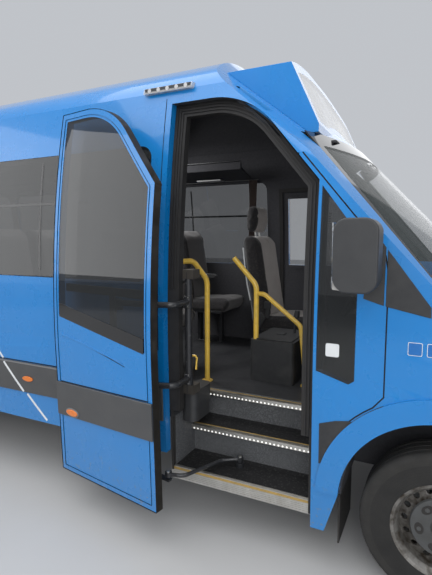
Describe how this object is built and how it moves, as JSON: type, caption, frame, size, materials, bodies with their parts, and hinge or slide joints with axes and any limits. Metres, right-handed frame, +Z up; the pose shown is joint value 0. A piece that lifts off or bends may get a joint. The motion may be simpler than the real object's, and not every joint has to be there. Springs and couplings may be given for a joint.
{
  "type": "airport passenger bus",
  "caption": "Blue high-roof airport minibus with stepped side entrance and an outward-swinging plug door on a turning column, standing open.",
  "frame": {"origin": "on the ground, at mid-length of the bus on its centre plane", "axes": "+X forward along the bus, +Y to its left, +Z up"},
  "size_m": [6.977, 2.4494, 2.708],
  "materials": {
    "blue_paint": "gloss",
    "dark_plastic": "satin",
    "black_steel": "satin",
    "tinted_glass": "gloss",
    "clear_glass": "gloss",
    "rubber": "matte",
    "tyre": "matte",
    "aluminium": "brushed",
    "rim_steel": "satin",
    "lamp_clear": "gloss",
    "yellow_rail": "gloss",
    "seat_cloth": "matte",
    "driver_cloth": "matte",
    "floor_cover": "matte",
    "engine_metal": "matte",
    "white_plate": "gloss",
    "curtain_cloth": "matte"
  },
  "bodies": {
    "bus": {"chassis_frame": "black_steel", "floor": "floor_cover", "entrance_steps": "floor_cover", "step_nosings": "aluminium", "right_side": "blue_paint", "left_side": "blue_paint", "roof": "blue_paint", "display_housing": "blue_paint", "body_glass": "tinted_glass", "windscreen": "clear_glass", "grilles": "dark_plastic", "fenders": "blue_paint", "bumpers": "dark_plastic", "lamps": "lamp_clear", "front_fixed_panel": "blue_paint", "entrance_frame": "rubber", "door_seals": "rubber", "door_fittings": "black_steel", "gear_cover": "dark_plastic", "rub_strips": "dark_plastic", "dashboard": "dark_plastic", "steering_wheel": "dark_plastic", "driver_seat": "driver_cloth", "passenger_seats": "seat_cloth", "handrails": "yellow_rail", "engine_block": "engine_metal", "axles": "black_steel", "wheel_liners": "dark_plastic", "right_mirror": "dark_plastic", "mudflaps": "rubber", "fuel_tank": "dark_plastic", "exhaust": "rim_steel", "number_plates": "white_plate", "wipers": "black_steel", "luggage_shelves": "dark_plastic", "curtain": "curtain_cloth"},
    "driver_door_body": {"driver_door": "blue_paint", "driver_door_glass": "tinted_glass", "left_mirror": "dark_plastic"},
    "rear_door_left_body": {"rear_door_left": "blue_paint", "rear_glass_left": "tinted_glass"},
    "rear_door_right_body": {"rear_door_right": "blue_paint", "rear_glass_right": "tinted_glass"},
    "bonnet_body": {"bonnet": "blue_paint"},
    "column_body": {"door_column": "black_steel"},
    "leaf_body": {"door_leaf": "blue_paint", "door_leaf_glass": "tinted_glass", "leaf_trim": "dark_plastic", "door_carrier": "black_steel"},
    "rod_body": {"guide_rod": "black_steel"},
    "knuckle_left_body": {"knuckle_left": "engine_metal"},
    "knuckle_right_body": {"knuckle_right": "engine_metal"},
    "front_wheel_left": {"front_rim_left": "rim_steel", "front_tyre_left": "tyre"},
    "front_wheel_right": {"front_rim_right": "rim_steel", "front_tyre_right": "tyre"},
    "rear_wheels_left": {"rear_rims_left": "rim_steel", "rear_tyres_left": "tyre"},
    "rear_wheels_right": {"rear_rims_right": "rim_steel", "rear_tyres_right": "tyre"}
  },
  "joints": [
    {"name": "entrance_column", "type": "hinge", "parent": "bus", "child": "column_body", "pos_m": [1.18, -0.88, 0.8], "axis": [0, 0, 1], "range_deg": [0, 143.8]},
    {"name": "entrance_leaf", "type": "hinge", "parent": "column_body", "child": "leaf_body", "pos_m": [0.8644, -1.0859, 0.8], "axis": [0, 0, 1], "range_deg": [-133.81, 0]},
    {"name": "entrance_guide_rod", "type": "hinge", "parent": "bus", "child": "rod_body", "pos_m": [1.443, -0.766, 0.365], "axis": [0, 0, 1], "range_deg": [0, 119.93]},
    {"name": "driver_door_hinge", "type": "hinge", "parent": "bus", "child": "driver_door_body", "pos_m": [2.2, 0.9965, 1], "axis": [0, 0, 1], "range_deg": [-70, 0]},
    {"name": "rear_door_left_hinge", "type": "hinge", "parent": "bus", "child": "rear_door_left_body", "pos_m": [-3.4725, 0.8, 1.2], "axis": [0, 0, 1], "range_deg": [-90, 0]},
    {"name": "rear_door_right_hinge", "type": "hinge", "parent": "bus", "child": "rear_door_right_body", "pos_m": [-3.4725, -0.8, 1.2], "axis": [0, 0, 1], "range_deg": [0, 90]},
    {"name": "bonnet_hinge", "type": "hinge", "parent": "bus", "child": "bonnet_body", "pos_m": [2.752, 0, 1.296], "axis": [0, 1, 0], "range_deg": [-50, 0]},
    {"name": "steer_left", "type": "hinge", "parent": "bus", "child": "knuckle_left_body", "pos_m": [2.4685, 0.78, 0.346], "axis": [0, 0, 1], "range_deg": [-32, 32]},
    {"name": "steer_right", "type": "hinge", "parent": "bus", "child": "knuckle_right_body", "pos_m": [2.4685, -0.78, 0.346], "axis": [0, 0, 1], "range_deg": [-32, 32]},
    {"name": "wheel_front_left", "type": "hinge", "parent": "knuckle_left_body", "child": "front_wheel_left", "pos_m": [2.4685, 0.86, 0.346], "axis": [0, 1, 0], "continuous": true},
    {"name": "wheel_front_right", "type": "hinge", "parent": "knuckle_right_body", "child": "front_wheel_right", "pos_m": [2.4685, -0.86, 0.346], "axis": [0, 1, 0], "continuous": true},
    {"name": "wheel_rear_left", "type": "hinge", "parent": "bus", "child": "rear_wheels_left", "pos_m": [-1.8565, 0.77, 0.346], "axis": [0, 1, 0], "continuous": true},
    {"name": "wheel_rear_right", "type": "hinge", "parent": "bus", "child": "rear_wheels_right", "pos_m": [-1.8565, -0.77, 0.346], "axis": [0, 1, 0], "continuous": true}
  ],
  "couplings": [
    {"joint": "entrance_leaf", "follows": "entrance_column", "ratio": -0.9305},
    {"joint": "entrance_guide_rod", "follows": "entrance_column", "ratio": 0.834},
    {"joint": "steer_right", "follows": "steer_left", "ratio": 1}
  ]
}
